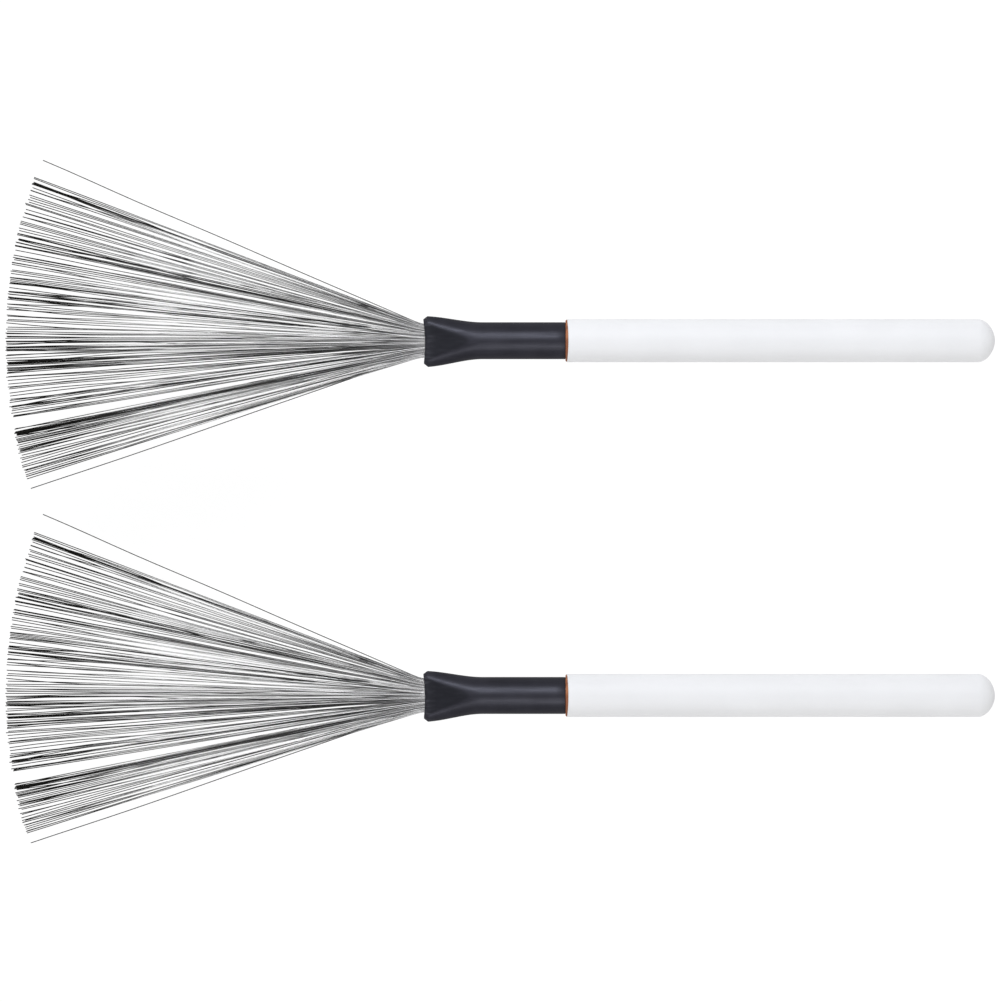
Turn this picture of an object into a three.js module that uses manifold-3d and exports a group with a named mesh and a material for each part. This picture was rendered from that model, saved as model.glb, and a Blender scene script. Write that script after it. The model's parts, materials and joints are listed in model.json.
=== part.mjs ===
// A pair of fixed-fan wire drum brushes lying side by side on a table.
//
// Frame: millimetres, +Z up. Each brush lies along X, its butt towards +X and its wires towards -X.
// The origin is under the middle of the pair's box, on the table.
// Each brush is built about its own axis, the line of its handle, and then placed.

import * as THREE from "three";
import { mergeVertices } from "three/addons/utils/BufferGeometryUtils.js";
import Module from "manifold-3d";

const wasm = await Module();
wasm.setup();

// ---------------------------------------------------------------- driving dimensions

const overallLength = 330;
const brushSpacing = 118.5; // between the two handle axes

const fitGap = 0.3; // clearance that every pair of touching pieces keeps
const outerSides = 32; // sides of the round pieces that show, with a flat side facing up and down
const innerSides = 16; // the same for the pieces inside the ferrule

const handle = {
  length: 142.65, // the white jacket, from its front edge to the end of its domed butt
  flatRadius: 7.2, // from the axis to a flat side
  domeDepth: 5.6,
  jacketWall: 0.4,
  edgeRound: 0.25,
  collarLength: 0.9, // bare wood that shows in front of the jacket
  collarInset: 0.15,
  collarChamfer: 0.3,
  boreDepth: 31,
};

const ferrule = {
  length: 47.55, // from the wood collar to the lips
  radius: 6.2,
  flareLength: 20, // the stretch behind the lips that is pressed flat
  lipHalfWidth: 8.6,
  lipHalfThickness: 2.8,
  lipRound: 1.4,
  lipInset: 0.9, // how far the rounded lip draws in
  lipHollow: 1.0, // the middle of the lips sits this far behind their ends
  pressedPower: 2.5, // 2 is an ellipse, and more is squarer
};

const tube = {
  radius: 5.13,
  wall: 0.6,
  lipHalfWidth: 7.0,
  lipHalfThickness: 1.95,
  setBack: 1.2, // its end hides behind the sleeve's lips
  handleDepth: 29,
};

const fan = {
  upperAngle: 23.3, // degrees between the handle axis and the outermost wire on the +Y side
  lowerAngle: 19.0, // the same on the -Y side
  apexBehindLips: 12.9, // the wires seem to spread from this point inside the ferrule
  tipArcRadius: 159,
  tipArcBehindLips: 20.2, // centre of the arc on which all the tips lie
  sectors: 6,
  wiresPerSector: 16,
  sectorGapAngle: 0.85, // added between two sectors, so that each can bend past the next
  rows: [-1, 1, 0], // heights of neighbouring wires, as a share of the highest
  lipRowHeight: 0.46,
  wireSide: 0.41, // holds the steel of two round wires of 0.33 mm
};

const flex = {
  hingeAheadOfLips: 20.7, // 0.15 of the free length of a wire
  stubGap: 0.65, // from the hinge line back to the ends of the fixed stubs
  plateGap: 0.5, // from the hinge line on to the root plate of the moving wires
  plateLength: 0.8,
};

const bundle = {
  lipHalfWidth: 5.6,
  lipHalfThickness: 0.95,
  rearHalfWidth: 3.3,
  rearHalfThickness: 1.6,
  aheadOfLips: 1.2, // where the wires part from each other
  power: 3,
};

const anchor = {
  behindLips: 36,
  pinRadius: 1.0,
  loopThickness: 1.2,
  loopLead: 5, // from the pin to where the two legs of each wire lie together
};

const crimp = { from: 26, to: 31, wall: 0.5 }; // distances behind the lips
const glue = { from: 12, to: 25 };

// ---------------------------------------------------------------- places worked out from them

const buttX = overallLength / 2;
const jacketFrontX = buttX - handle.length;
const woodFrontX = jacketFrontX - handle.collarLength;
const lipX = woodFrontX - ferrule.length;
const hingeX = lipX - flex.hingeAheadOfLips;
const pinX = lipX + anchor.behindLips;

const axisHeight = handle.flatRadius;
const jacketInside = handle.flatRadius - handle.jacketWall;
const coreRadius = jacketInside - fitGap;

const radians = THREE.MathUtils.degToRad;
const lerp = THREE.MathUtils.lerp;

// ---------------------------------------------------------------- materials

const finish = (color, roughness, metalness) =>
  new THREE.MeshStandardMaterial({ color, roughness, metalness });

const materials = {
  whiteJacket: finish(0xf1f1f2, 0.25, 0),
  wood: finish(0x9c5a35, 0.6, 0),
  blackSleeve: finish(0x33333a, 0.45, 0),
  aluminium: finish(0xb9bbbe, 0.35, 1),
  springSteel: finish(0x8f8f90, 0.32, 1),
  pinSteel: finish(0xa4a4a6, 0.3, 1),
  brass: finish(0xb5975a, 0.35, 1),
  glue: finish(0xb8a06a, 0.4, 0),
};

// ---------------------------------------------------------------- solids and booleans

// A closed geometry as a solid that can be joined and cut.
function solidOf(geometry) {
  const bare = geometry.clone();
  bare.deleteAttribute("normal");
  bare.deleteAttribute("uv");
  const merged = mergeVertices(bare, 1e-5);
  const corners = merged.index.array;
  const kept = [];
  for (let i = 0; i < corners.length; i += 3) {
    const [a, b, c] = corners.subarray(i, i + 3);
    if (a !== b && b !== c && c !== a) kept.push(a, b, c);
  }
  return new wasm.Manifold(
    new wasm.Mesh({
      numProp: 3,
      vertProperties: merged.attributes.position.array,
      triVerts: new Uint32Array(kept),
    }),
  );
}

function geometryOf(solid) {
  const mesh = solid.getMesh();
  const geometry = new THREE.BufferGeometry();
  geometry.setAttribute("position", new THREE.BufferAttribute(mesh.vertProperties, 3));
  geometry.setIndex(new THREE.BufferAttribute(mesh.triVerts, 1));
  geometry.computeVertexNormals();
  return geometry;
}

const joined = (geometries) =>
  geometryOf(geometries.map(solidOf).reduce((whole, solid) => whole.add(solid)));

const cut = (body, ...tools) =>
  geometryOf(tools.map(solidOf).reduce((rest, tool) => rest.subtract(tool), solidOf(body)));

// A solid turned about X. The profile holds [x, distance from the axis to a flat side], and runs
// towards +X along the outside.
function turned(profile, sides = outerSides) {
  const halfSide = Math.PI / sides;
  const points = profile.map(([x, flat]) => new THREE.Vector2(flat / Math.cos(halfSide), x));
  return new THREE.LatheGeometry(points, sides, halfSide).rotateZ(-Math.PI / 2);
}

// A closed solid along X whose cross-section at each x is a rounded oval, wider along Y.
// sectionAt(x) gives its halfWidth, halfThickness and power.
function oval(stations, sectionAt, sides = innerSides) {
  const first = stations[0];
  const last = stations[stations.length - 1];
  const profile = [[first, 0], ...stations.map((x) => [x, 1]), [last, 0]];
  const geometry = turned(profile, sides);
  const position = geometry.attributes.position;
  for (let i = 0; i < position.count; i++) {
    const x = position.getX(i);
    const { halfWidth, halfThickness, power } = sectionAt(x);
    const angle = Math.atan2(position.getZ(i), position.getY(i));
    const onRim = Math.hypot(position.getY(i), position.getZ(i)) > 0.5 ? 1 : 0;
    const squared = (value) => Math.sign(value) * Math.abs(value) ** (2 / power);
    position.setY(i, onRim * halfWidth * squared(Math.cos(angle)));
    position.setZ(i, onRim * halfThickness * squared(Math.sin(angle)));
  }
  return geometry;
}

// Evenly spaced stations from one x to another, both included.
const stationsBetween = (from, to, steps) =>
  Array.from({ length: steps + 1 }, (_, i) => lerp(from, to, i / steps));

// ---------------------------------------------------------------- how the ferrule is pressed flat

// 1 at the lips, falling smoothly to 0 where the ferrule is round again.
function pressed(x) {
  const along = THREE.MathUtils.clamp((x - lipX) / ferrule.flareLength, 0, 1);
  return 1 - along * along * (3 - 2 * along);
}

// The section at x of a round bar that is pressed to the given half sizes at the lips.
function pressedSection(x, radius, lipHalfWidth, lipHalfThickness) {
  const share = pressed(x);
  return {
    halfWidth: lerp(radius, lipHalfWidth, share),
    halfThickness: lerp(radius, lipHalfThickness, share),
    power: lerp(2, ferrule.pressedPower, share),
  };
}

// The same section with every wall moved in by a distance, or out where it is negative.
const inset = (section, distance) => ({
  ...section,
  halfWidth: section.halfWidth - distance,
  halfThickness: section.halfThickness - distance,
});

function sleeveSection(x) {
  const { radius, lipHalfWidth, lipHalfThickness, lipRound, lipInset } = ferrule;
  const section = pressedSection(x, radius, lipHalfWidth, lipHalfThickness);
  const toLip = THREE.MathUtils.clamp(1 - (x - lipX) / lipRound, 0, 1);
  const drawnIn = lipInset * (1 - Math.sqrt(1 - toLip * toLip));
  section.halfWidth -= drawnIn;
  section.halfThickness -= drawnIn / 2;
  return section;
}

const tubeSection = (x) =>
  pressedSection(x, tube.radius, tube.lipHalfWidth, tube.lipHalfThickness);

function bundleSection(x) {
  const share = pressed(x);
  return {
    halfWidth: lerp(bundle.rearHalfWidth, bundle.lipHalfWidth, share),
    halfThickness: lerp(bundle.rearHalfThickness, bundle.lipHalfThickness, share),
    power: bundle.power,
  };
}

// Draws the middle of the lips back, so that they are hollow when seen from above.
function hollowLips(geometry) {
  const position = geometry.attributes.position;
  for (let i = 0; i < position.count; i++) {
    const nearLip = THREE.MathUtils.clamp(1 - (position.getX(i) - lipX) / ferrule.lipRound, 0, 1);
    const across = position.getY(i) / (ferrule.lipHalfWidth - ferrule.lipInset);
    const back = ferrule.lipHollow * nearLip * Math.max(0, 1 - across * across);
    position.setX(i, position.getX(i) + back);
  }
  return geometry;
}

// ---------------------------------------------------------------- the handle

// Points of a quarter of an ellipse from the cylinder to the axis, about the start of the dome.
function dome(startX, depth, radius, steps = 5) {
  return Array.from({ length: steps }, (_, i) => {
    const angle = (Math.PI / 2) * ((i + 1) / steps);
    const atAxis = i === steps - 1;
    return [startX + depth * Math.sin(angle), atAxis ? 0 : radius * Math.cos(angle)];
  });
}

function handleJacket() {
  const domeX = buttX - handle.domeDepth;
  const insideDome = dome(domeX, handle.domeDepth - handle.jacketWall, jacketInside);
  return turned([
    ...insideDome.reverse(),
    [domeX, jacketInside],
    [jacketFrontX, jacketInside],
    [jacketFrontX, handle.flatRadius - handle.edgeRound],
    [jacketFrontX + handle.edgeRound, handle.flatRadius],
    [domeX, handle.flatRadius],
    ...dome(domeX, handle.domeDepth, handle.flatRadius),
  ]);
}

function handleCore() {
  const domeX = buttX - handle.domeDepth;
  const collarRadius = handle.flatRadius - handle.collarInset;
  const collarBackX = jacketFrontX - fitGap;
  const boreRadius = tube.radius + fitGap;
  const boreEndX = woodFrontX + handle.boreDepth;
  const domeDepth = handle.domeDepth - handle.jacketWall - fitGap;
  return turned([
    [boreEndX, 0],
    [boreEndX, boreRadius],
    [woodFrontX, boreRadius],
    [woodFrontX, collarRadius - handle.collarChamfer],
    [woodFrontX + handle.collarChamfer, collarRadius],
    [collarBackX, collarRadius],
    [collarBackX, coreRadius],
    [domeX, coreRadius],
    ...dome(domeX, domeDepth, coreRadius),
  ]);
}

// ---------------------------------------------------------------- the ferrule

const flareStations = (endX) => [
  ...stationsBetween(lipX, lipX + ferrule.lipRound, 3),
  ...stationsBetween(lipX + 4, lipX + ferrule.flareLength, 5),
  endX,
];

function ferruleSleeve() {
  const endX = woodFrontX - fitGap;
  const outside = hollowLips(oval(flareStations(endX), sleeveSection, outerSides));
  const beyond = 1;
  const insideStations = [
    lipX - beyond,
    ...stationsBetween(lipX, lipX + ferrule.flareLength, 5),
    endX + beyond,
  ];
  const clearOfTube = (x) => inset(tubeSection(x), -fitGap);
  return cut(outside, oval(insideStations, clearOfTube, outerSides));
}

function mouthTube() {
  const startX = lipX + tube.setBack;
  const endX = woodFrontX + tube.handleDepth;
  const beyond = 1;
  const bends = stationsBetween(lipX + 4, lipX + ferrule.flareLength, 5);
  const outside = oval([startX, ...bends, endX], tubeSection);
  const insideStations = [startX - beyond, ...bends, endX + beyond];
  const inside = oval(insideStations, (x) => inset(tubeSection(x), tube.wall));
  return cut(outside, inside, crossPin(anchor.pinRadius + fitGap, 2 * tube.radius + 2 * beyond));
}

// A round bar across the brush, along Y, through the place of the anchor pin.
function crossPin(radius, length) {
  const sides = 16;
  return new THREE.CylinderGeometry(radius, radius, length, sides).translate(pinX, 0, 0);
}

const anchorPin = () => crossPin(anchor.pinRadius, 2 * tube.radius);

// A closed band round the bundle between two distances behind the lips.
function bandRoundBundle(from, to, outsideAt) {
  const beyond = 1;
  const steps = 3;
  const outside = oval(stationsBetween(lipX + from, lipX + to, steps), outsideAt);
  const bore = oval(stationsBetween(lipX + from - beyond, lipX + to + beyond, steps), (x) =>
    inset(bundleSection(x), -fitGap),
  );
  return cut(outside, bore);
}

const crimpCollar = () =>
  bandRoundBundle(crimp.from, crimp.to, (x) => inset(bundleSection(x), -fitGap - crimp.wall));

const gluePlug = () =>
  bandRoundBundle(glue.from, glue.to, (x) => inset(tubeSection(x), tube.wall + fitGap));

// ---------------------------------------------------------------- the wires

// The wires of one brush, each with its sector and the points of its straight line.
function wireLines() {
  const { upperAngle, lowerAngle, sectors, wiresPerSector, sectorGapAngle, rows } = fan;
  const count = sectors * wiresPerSector;
  const step = (upperAngle + lowerAngle - (sectors - 1) * sectorGapAngle) / (count - 1);
  return Array.from({ length: count }, (_, i) => {
    const sector = Math.floor(i / wiresPerSector);
    const angle = upperAngle - i * step - sector * sectorGapAngle;
    return { sector, ...wireLine(radians(angle), rows[i % rows.length]) };
  });
}

// A straight wire that leaves the lips at an angle from the handle axis. Its tip is on the tip arc,
// and its row sets how high it stands: -1 touches the table and 1 is as far above the axis.
function wireLine(angle, row) {
  const slope = Math.tan(angle);
  const { tipArcBehindLips, tipArcRadius, apexBehindLips, wireSide, lipRowHeight } = fan;
  // The reach ahead of the lips, t, solves (t + arc)^2 + (slope (t + apex))^2 = radius^2.
  const a = 1 + slope * slope;
  const b = tipArcBehindLips + slope * slope * apexBehindLips;
  const c = tipArcBehindLips ** 2 + (slope * apexBehindLips) ** 2 - tipArcRadius ** 2;
  const reach = (-b + Math.sqrt(b * b - a * c)) / a;
  const tipRise = axisHeight - wireSide / 2;
  const pointAt = (ahead) =>
    new THREE.Vector3(
      lipX - ahead,
      slope * (apexBehindLips + ahead),
      row * lerp(lipRowHeight, tipRise, ahead / reach),
    );
  return { reach, pointAt };
}

// A straight bar of square section from one point to another.
function bar(from, to) {
  const length = from.distanceTo(to);
  const geometry = new THREE.BoxGeometry(fan.wireSide, fan.wireSide, length);
  const placed = new THREE.Object3D();
  placed.position.lerpVectors(from, to, 0.5);
  placed.lookAt(to);
  placed.updateMatrix();
  return geometry.applyMatrix4(placed.matrix);
}

// The folded ends of the wires round the anchor pin, seen from the side as a thick eye.
function foldedLoops() {
  const outer = anchor.pinRadius + fitGap + anchor.loopThickness;
  const half = bundle.rearHalfThickness;
  const outline = new THREE.Shape();
  outline.moveTo(-anchor.loopLead, -half);
  outline.lineTo(0, -outer);
  outline.absarc(0, 0, outer, -Math.PI / 2, Math.PI / 2, false);
  outline.lineTo(-anchor.loopLead, half);
  outline.closePath();
  const hole = new THREE.Path();
  hole.absarc(0, 0, anchor.pinRadius + fitGap, 0, 2 * Math.PI, true);
  outline.holes.push(hole);
  const width = 2 * (bundle.rearHalfWidth - fitGap);
  const geometry = new THREE.ExtrudeGeometry(outline, {
    depth: width,
    bevelEnabled: false,
    curveSegments: 8,
  });
  return geometry
    .translate(0, 0, -width / 2)
    .rotateX(Math.PI / 2)
    .translate(pinX, 0, 0);
}

// The held part of all the wires: the loops, the packed bundle and the stubs up to the hinge line.
function wireRoots(lines) {
  const packedStations = [
    lipX - bundle.aheadOfLips,
    ...stationsBetween(lipX, lipX + ferrule.flareLength, 5),
    pinX - anchor.loopLead + fitGap,
  ];
  const packed = oval(packedStations, bundleSection);
  const stubEnd = flex.hingeAheadOfLips - flex.stubGap;
  const stubs = lines.map(({ pointAt }) => bar(pointAt(0), pointAt(stubEnd)));
  return joined([packed, foldedLoops(), ...stubs]);
}

// The free wires of one sector, joined by a short plate just beyond the hinge line.
function wireSector(lines) {
  const plateAhead = flex.hingeAheadOfLips + flex.plateGap + flex.plateLength / 2;
  const roots = lines.map(({ pointAt }) => pointAt(plateAhead));
  const rootBox = new THREE.Box3().setFromPoints(roots);
  rootBox.expandByScalar(fan.wireSide / 2);
  const size = rootBox.getSize(new THREE.Vector3());
  const centre = rootBox.getCenter(new THREE.Vector3());
  const plate = new THREE.BoxGeometry(flex.plateLength, size.y, size.z);
  plate.translate(centre.x, centre.y, centre.z);
  const wires = lines.map(({ reach, pointAt }) => bar(pointAt(plateAhead), pointAt(reach)));
  return joined([plate, ...wires]);
}

// ---------------------------------------------------------------- one brush and the pair

function makeBrush(letter) {
  const brush = new THREE.Group();
  const add = (name, geometry, material) => {
    const mesh = new THREE.Mesh(geometry, material);
    mesh.name = `${name}_${letter}`;
    brush.add(mesh);
  };
  const lines = wireLines();
  add("handle_jacket", handleJacket(), materials.whiteJacket);
  add("handle_core", handleCore(), materials.wood);
  add("ferrule_sleeve", ferruleSleeve(), materials.blackSleeve);
  add("mouth_tube", mouthTube(), materials.aluminium);
  add("anchor_pin", anchorPin(), materials.pinSteel);
  add("crimp_collar", crimpCollar(), materials.brass);
  add("glue_plug", gluePlug(), materials.glue);
  add("wire_roots", wireRoots(lines), materials.springSteel);
  for (let sector = 0; sector < fan.sectors; sector++) {
    const ofSector = lines.filter((line) => line.sector === sector);
    add(`wires_${sector + 1}`, wireSector(ofSector), materials.springSteel);
  }
  return brush;
}

// How far the outermost tips on the two sides stand from the handle axis, along Y.
function tipOffsets() {
  const tipY = (degrees) => {
    const { reach, pointAt } = wireLine(radians(degrees), 0);
    return pointAt(reach).y;
  };
  return { upper: tipY(fan.upperAngle), lower: tipY(-fan.lowerAngle) };
}

const pair = new THREE.Group();
const { upper, lower } = tipOffsets();
const middleOfPair = (upper + lower) / 2;
["a", "b"].forEach((letter, i) => {
  const brush = makeBrush(letter);
  const side = i === 0 ? 1 : -1;
  brush.position.set(0, (side * brushSpacing) / 2 - middleOfPair, axisHeight);
  pair.add(brush);
});

export default pair;
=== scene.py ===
"""A pair of wire drum brushes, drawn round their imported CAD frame.

Metres, +Z up. Each brush lies along X with its butt towards +X and its wires towards -X.
Along a brush, "behind" means towards the butt and "ahead" means towards the tips of the wires.
"""

import json
import math
import random

import bpy
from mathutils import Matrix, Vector

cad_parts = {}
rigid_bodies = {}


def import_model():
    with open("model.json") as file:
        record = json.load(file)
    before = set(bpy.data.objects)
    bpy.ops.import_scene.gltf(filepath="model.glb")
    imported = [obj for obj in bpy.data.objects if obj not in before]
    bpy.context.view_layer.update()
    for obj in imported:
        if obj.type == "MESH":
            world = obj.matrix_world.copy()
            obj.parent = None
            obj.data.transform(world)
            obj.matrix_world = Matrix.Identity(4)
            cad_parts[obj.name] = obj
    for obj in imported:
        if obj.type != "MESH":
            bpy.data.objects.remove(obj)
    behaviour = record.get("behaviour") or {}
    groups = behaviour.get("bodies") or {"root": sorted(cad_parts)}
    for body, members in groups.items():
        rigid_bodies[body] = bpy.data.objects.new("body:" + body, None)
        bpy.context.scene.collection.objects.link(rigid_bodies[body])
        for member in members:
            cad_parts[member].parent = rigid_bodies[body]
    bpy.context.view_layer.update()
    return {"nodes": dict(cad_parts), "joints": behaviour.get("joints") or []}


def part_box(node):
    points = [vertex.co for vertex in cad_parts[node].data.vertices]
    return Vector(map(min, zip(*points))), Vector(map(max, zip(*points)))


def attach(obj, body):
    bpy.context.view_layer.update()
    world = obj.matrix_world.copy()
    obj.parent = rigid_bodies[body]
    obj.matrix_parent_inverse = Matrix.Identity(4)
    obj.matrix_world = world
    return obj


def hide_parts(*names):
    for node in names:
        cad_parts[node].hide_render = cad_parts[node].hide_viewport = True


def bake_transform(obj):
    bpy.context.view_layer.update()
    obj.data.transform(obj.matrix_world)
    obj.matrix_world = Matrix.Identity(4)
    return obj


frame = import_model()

MM = 0.001
BRUSHES = ("a", "b")
SECTORS = 6
SECTOR_ANGLE = 7.26  # degrees

# ------------------------------------------------------------------ sizes of the fine shapes

ROUND_SIDES = 96
ON_AXIS = 1e-9  # a smaller radius than this is a point on the axis

JACKET_WALL = 0.4 * MM
JACKET_EDGE = 0.25 * MM
DOME_DEPTH = 5.6 * MM
DOME_PINCH = 1.1  # 1 is an ellipse, and more is a little more pointed
WOOD_FACE = 0.1 * MM  # the wood's front face stands this far behind the end of its CAD node
CORE_GAP = 0.1 * MM  # between the wood and the lacquer round it, and the tube in its bore
BORE_SPARE = 1 * MM  # the bore goes on this far behind the end of the tube
COLLAR_INSET = 0.15 * MM
COLLAR_CHAMFER = 0.35 * MM
COLLAR_CURVE = ((0, 1), (0.3, 0.45), (0.7, 0.12), (1.2, 0))  # (behind, inwards) in chamfers
COLLAR_TUCK = 0.05 * MM  # the collar ends this far inside the lacquer's front edge
COLLAR_SHOWS = 0.5 * MM  # the bare wood that shows at the sides of the handle
EDGE_WAVE = 0.4 * MM  # the dipped lacquer starts this much later above and below than at its sides
WAVE_GROWS = 0.4 * MM  # the edge's wave grows over this length from the wood's front face,
WAVE_HOLDS = 0.6 * MM  # holds for this length behind the lacquer's edge,
WAVE_FADES = 2 * MM  # and fades over this length

SLEEVE_GAP = 0.03 * MM  # between the sleeve and the wood behind it
FLARE_LENGTH = 20 * MM  # the stretch behind the lips where the sleeve is pressed
OVAL_HALF_AT_LIPS = 4.3 * MM  # half thickness of the pressed oval before its flats are cut
FLAT_HALF_AT_LIPS = 2.55 * MM  # the two flats stand this far from the axis at the lips
FLAT_LENGTH = 16.5 * MM  # from the lips to the point of each three-cornered flat
FLAT_SOFTNESS = 0.55 * MM
FLAT_MARGIN = 0.3 * MM  # the height over which the painted shade on the flats fades at their edges
FLAT_HOLLOW = 0.22 * MM  # the pressing tool leaves the flats a little dished
HOLLOW_FROM = 3 * MM  # behind the lips, where the flats are dished in full
FLARE_LEAN = 0.3 * MM  # the lips stand this much off the axis, towards -Y
LIP_CHAMFER = 1.5 * MM
LIP_DRAW_IN = 1.15 * MM
LIP_ROLL = 0.35 * MM  # the lips roll in this much above and below
LIP_HOLLOW = 0.55 * MM
LIP_SLANT = 0.32 * MM  # the lips are cut a little out of square
LIP_SHAPE_ENDS = 4 * MM  # behind the lips, where their hollow and their slant have faded
END_ROUND = 0.2 * MM
END_CURVE = ((0.3, 0.3), (1.0, 0.0))  # (inwards, ahead of the end) in END_ROUNDs
LINING_GAP = 0.06 * MM  # between the sleeve and the tube inside it
# Where the sleeve has corners: these many millimetres behind the lips, then every half millimetre.
NEAR_LIP = (0.06, 0.2, 0.45, 0.8, 1.1, 1.3, 1.55, 2.0, 2.7)
HALF_MILLIMETRES = range(7, 42)

TUBE_RADIUS = 5.13 * MM
TUBE_WALL = 0.6 * MM
TUBE_HALF_WIDTH = 6.55 * MM
TUBE_HALF_THICKNESS = 1.9 * MM
TUBE_POWER = 2.6  # 2 is an ellipse, and more is squarer
TUBE_EDGE = 0.2 * MM
TUBE_PLACES = (30 * MM, 45 * MM, 60 * MM)  # behind the lips, where the round part has corners

WIRE_RADIUS = 0.165 * MM
WIRE_PITCH = 2.04 * WIRE_RADIUS  # between two wires that lie on each other
WIRE_SIDES = 6
WIRE_COUNT = 192
LIP_ROWS = 6  # wires on top of each other at the lips
LOOP_ROWS = 10  # wires on top of each other behind the crimp collar
LIP_HALF_WIDTH = 5.3 * MM
REAR_HALF_WIDTH = 3.3 * MM
STRAIGHT_INSIDE = 2 * MM  # the wires run straight for this length behind the lips
FREE_FROM = 6 * MM  # behind the lips, where the free wires take over from the bundle
REAR_FROM = 31 * MM  # behind the lips, where the bundle is as narrow as the pin is long
PIN_BEHIND_LIPS = 36 * MM
PIN_RADIUS = 1.0 * MM
PIN_CLEARANCE = 0.1 * WIRE_RADIUS
LIP_BEND = 3 * MM  # each wire turns to its own direction this far on both sides of the lips
# The places of a free wire's corners in millimetres ahead of the lips, and how many more follow.
CORNERS = (-6, -4.5, -3, -1.5, 0, 1.5, 3, 7, 12, 18, 25, 33, 42)
CORNERS_TO_TIP = 11

UPPER_ANGLE = 23.3  # degrees from the handle axis to the outermost wire on the +Y side
LOWER_ANGLE = -19.0
EDGE_GAP = 2.2  # degrees that part the one outermost wire from the rest of the fan
APEX_BEHIND_LIPS = 12.9 * MM
TIP_ARC_RADIUS = 159.45 * MM
TIP_ARC_BEHIND_LIPS = 20.2 * MM
TIP_SCATTER = 0.13 * MM
FAN_THICKNESS = 0.8  # share of the handle's thickness that the tips spread over
BOW = 0.25 * MM  # how much the wires are bent over their whole length
WAVY_SHARE = 0.22  # of the wires
STRONG_WAVE = (0.4, 0.9)  # mm, of the wavy wires
FAINT_WAVE = (0.03, 0.25)  # mm, of the others
WAVE_TURNS = (1.1, 2.3)
WAVE_GROWTH = 1.5  # the power by which a wave grows towards the tip
WAVE_LIFT = 0.4  # the share of a wave that goes up and down

# Where the wires bunch together: (angle in degrees, spread in degrees, how many wires).
TUFTS = (
    (20.2, 0.3, 5),
    (12.2, 0.8, 8),
    (10.3, 0.3, 2),
    (7.9, 0.3, 3),
    (5.9, 0.8, 6),
    (-0.5, 0.8, 9),
    (-3.1, 0.9, 9),
    (-8.4, 0.6, 7),
    (-12.0, 0.5, 13),
    (-13.7, 0.3, 4),
    (-16.2, 0.3, 4),
)
CLEAR_FROM, CLEAR_TO = -9.7, -11.0  # degrees between which no wire lies
LOOSENESS = 0.12  # degrees by which each other wire strays from an even fan
LIP_SHUFFLE = 6  # places by which a wire's order at the lips strays from its order at the tips
TUFT_TONES = (0.0, 0.52)  # wires that lie close together shade each other
LOOSE_TONES = (0.17, 0.94)
TONE_CHANGES = 0.5  # the chance that a wire has another tone than its neighbour
LONE_TONE = 0.1
LOWER_LONE_PLACE = 0.87  # share of the lips' width where the lowest wire leaves them


# ------------------------------------------------------------------ where each brush lies


class Brush:
    """The places of one brush, read from the boxes of its CAD nodes."""

    def __init__(self, letter):
        self.letter = letter
        self.body = f"brush_{letter}"
        jacket_low, jacket_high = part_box(f"handle_jacket_{letter}")
        core_low, core_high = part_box(f"handle_core_{letter}")
        sleeve_low, sleeve_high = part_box(f"ferrule_sleeve_{letter}")
        tube_low, tube_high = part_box(f"mouth_tube_{letter}")
        self.axis_y = (jacket_low.y + jacket_high.y) / 2
        self.axis_z = (jacket_low.z + jacket_high.z) / 2
        self.handle_radius = self.axis_z - jacket_low.z
        self.butt_x = jacket_high.x
        self.wood_x = core_low.x + WOOD_FACE
        self.jacket_x = self.wood_x + COLLAR_SHOWS
        self.core_end_x = core_high.x
        self.sleeve_end_x = self.wood_x - SLEEVE_GAP
        self.lip_x = sleeve_low.x
        self.lip_half_width = (sleeve_high.y - sleeve_low.y) / 2
        self.sleeve_radius = (sleeve_high.z - sleeve_low.z) / 2
        self.tube_x = tube_low.x
        self.tube_end_x = tube_high.x
        self.hinge_x = next(
            joint["pos_m"][0]
            for joint in frame["joints"]
            if joint["parent"] == self.body and joint["type"] == "hinge"
        )

    def place(self, x, y, z):
        """A point given from the brush's own axis, in the shared frame."""
        return Vector((x, self.axis_y + y, self.axis_z + z))


def lerp(a, b, share):
    return a + (b - a) * share


def clamp01(value):
    return min(1.0, max(0.0, value))


def smooth(share):
    share = clamp01(share)
    return share * share * (3 - 2 * share)


def signed_power(value, exponent):
    return math.copysign(abs(value) ** exponent, value)


def soft_min(a, b, softness):
    """The smaller of two lengths, with the corner between them rounded."""
    gap = max(softness - abs(a - b), 0.0) / softness
    return min(a, b) - gap * gap * softness / 4


# ------------------------------------------------------------------ mesh building


def new_object(name, vertices, faces, smooth_angle=math.radians(35)):
    mesh = bpy.data.meshes.new(name)
    mesh.from_pydata(vertices, [], faces)
    mesh.validate()
    mesh.shade_smooth()
    mesh.set_sharp_from_angle(angle=smooth_angle)
    thing = bpy.data.objects.new(name, mesh)
    bpy.context.collection.objects.link(thing)
    return thing


def finish_piece(thing, brush, material, slot, *nodes):
    """Gives a rigid piece its material and body, and hides the CAD nodes it stands for. The slot is
    not used.
    """
    thing.data.materials.append(material)
    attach(thing, brush.body)
    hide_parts(*nodes)
    return thing


def keep_values(thing, name, values):
    """Stores one number for each vertex, for the piece's material to read."""
    attribute = thing.data.attributes.new(name, "FLOAT", "POINT")
    attribute.data.foreach_set("value", values)


def bridge(first, second, count):
    """Quads between two rings of vertex numbers that start at first and second."""
    return [
        (first + i, first + (i + 1) % count, second + (i + 1) % count, second + i)
        for i in range(count)
    ]


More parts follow.
